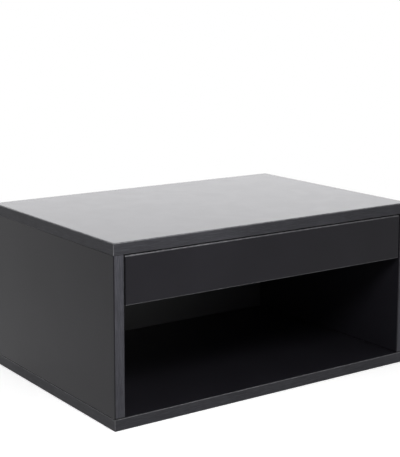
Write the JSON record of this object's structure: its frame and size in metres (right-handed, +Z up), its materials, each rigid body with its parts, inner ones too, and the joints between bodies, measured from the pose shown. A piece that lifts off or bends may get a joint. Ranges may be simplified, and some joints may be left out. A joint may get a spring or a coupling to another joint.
{
  "type": "floating nightstand",
  "caption": "Wall-hung open bedside box with one handleless inset drawer on telescopic runners above an open niche.",
  "frame": {"origin": "middle of the underside", "axes": "+Z up, -Y to the front where the drawer opens, +Y to the wall, +X to the right seen from the front"},
  "size_m": [0.52, 0.35, 0.25],
  "materials": {
    "black_board": "satin black lacquer",
    "black_panel": "satin black, thin board",
    "drawer_board": "matte black foil",
    "beech": "bare, fluted",
    "zinc_steel": "bright zinc plate",
    "ball_steel": "polished",
    "screw_steel": "zinc plate",
    "black_plastic": "moulded, fine grain"
  },
  "bodies": {
    "cabinet": {"top_panel": "black_board", "bottom_panel": "black_board", "side_panel_left": "black_board", "side_panel_right": "black_board", "hanging_rail": "black_board", "back_panel": "black_panel", "dowel_bottom_left_front": "beech", "dowel_bottom_left_rear": "beech", "dowel_bottom_right_front": "beech", "dowel_bottom_right_rear": "beech", "dowel_top_left_front": "beech", "dowel_top_left_rear": "beech", "dowel_top_right_front": "beech", "dowel_top_right_rear": "beech", "dowel_rail_left_lower": "beech", "dowel_rail_left_upper": "beech", "dowel_rail_right_lower": "beech", "dowel_rail_right_upper": "beech", "hanging_plate_left": "zinc_steel", "hanging_plate_right": "zinc_steel", "plate_screw_left_lower": "screw_steel", "plate_screw_left_upper": "screw_steel", "plate_screw_right_lower": "screw_steel", "plate_screw_right_upper": "screw_steel", "runner_cabinet_member_left": "zinc_steel", "runner_cabinet_member_right": "zinc_steel", "cabinet_runner_screw_left_front": "screw_steel", "cabinet_runner_screw_left_rear": "screw_steel", "cabinet_runner_screw_right_front": "screw_steel", "cabinet_runner_screw_right_rear": "screw_steel", "rear_bumper_left": "black_plastic", "rear_bumper_right": "black_plastic"},
    "drawer": {"drawer_front": "black_board", "drawer_inner_front": "drawer_board", "drawer_side_left": "drawer_board", "drawer_side_right": "drawer_board", "drawer_back": "drawer_board", "drawer_bottom": "black_panel", "front_screw_left_outer": "screw_steel", "front_screw_left_inner": "screw_steel", "front_screw_right_outer": "screw_steel", "front_screw_right_inner": "screw_steel", "bottom_screw_left": "screw_steel", "bottom_screw_right": "screw_steel", "runner_drawer_member_left": "zinc_steel", "runner_drawer_member_right": "zinc_steel", "drawer_runner_screw_left_front": "screw_steel", "drawer_runner_screw_left_rear": "screw_steel", "drawer_runner_screw_right_front": "screw_steel", "drawer_runner_screw_right_rear": "screw_steel"},
    "middle_member_left": {"runner_middle_member_left": "zinc_steel"},
    "outer_cage_left": {"outer_ball_cage_left": "ball_steel"},
    "inner_cage_left": {"inner_ball_cage_left": "ball_steel"},
    "lever_left": {"release_lever_left": "black_plastic"},
    "middle_member_right": {"runner_middle_member_right": "zinc_steel"},
    "outer_cage_right": {"outer_ball_cage_right": "ball_steel"},
    "inner_cage_right": {"inner_ball_cage_right": "ball_steel"},
    "lever_right": {"release_lever_right": "black_plastic"}
  },
  "joints": [
    {"name": "drawer_slide", "type": "slide", "parent": "cabinet", "child": "drawer", "axis": [0, -1, 0], "range_m": [0, 0.3]},
    {"name": "middle_member_left_slide", "type": "slide", "parent": "cabinet", "child": "middle_member_left", "axis": [0, -1, 0], "range_m": [0, 0.15]},
    {"name": "outer_cage_left_slide", "type": "slide", "parent": "cabinet", "child": "outer_cage_left", "axis": [0, -1, 0], "range_m": [0, 0.075]},
    {"name": "inner_cage_left_slide", "type": "slide", "parent": "cabinet", "child": "inner_cage_left", "axis": [0, -1, 0], "range_m": [0, 0.225]},
    {"name": "middle_member_right_slide", "type": "slide", "parent": "cabinet", "child": "middle_member_right", "axis": [0, -1, 0], "range_m": [0, 0.15]},
    {"name": "outer_cage_right_slide", "type": "slide", "parent": "cabinet", "child": "outer_cage_right", "axis": [0, -1, 0], "range_m": [0, 0.075]},
    {"name": "inner_cage_right_slide", "type": "slide", "parent": "cabinet", "child": "inner_cage_right", "axis": [0, -1, 0], "range_m": [0, 0.225]},
    {"name": "release_lever_left_hinge", "type": "hinge", "parent": "drawer", "child": "lever_left", "pos_m": [-0.2341, 0.0162, 0.203], "axis": [-1, 0, 0], "range_deg": [0, 6], "stiffness_Nm_per_rad": 0.02, "springref_deg": -2.86},
    {"name": "release_lever_right_hinge", "type": "hinge", "parent": "drawer", "child": "lever_right", "pos_m": [0.2341, 0.0162, 0.203], "axis": [1, 0, 0], "range_deg": [0, 6], "stiffness_Nm_per_rad": 0.02, "springref_deg": -2.86}
  ],
  "couplings": [
    {"joint": "middle_member_left_slide", "follows": "drawer_slide", "ratio": 0.5},
    {"joint": "outer_cage_left_slide", "follows": "drawer_slide", "ratio": 0.25},
    {"joint": "inner_cage_left_slide", "follows": "drawer_slide", "ratio": 0.75},
    {"joint": "middle_member_right_slide", "follows": "drawer_slide", "ratio": 0.5},
    {"joint": "outer_cage_right_slide", "follows": "drawer_slide", "ratio": 0.25},
    {"joint": "inner_cage_right_slide", "follows": "drawer_slide", "ratio": 0.75}
  ]
}
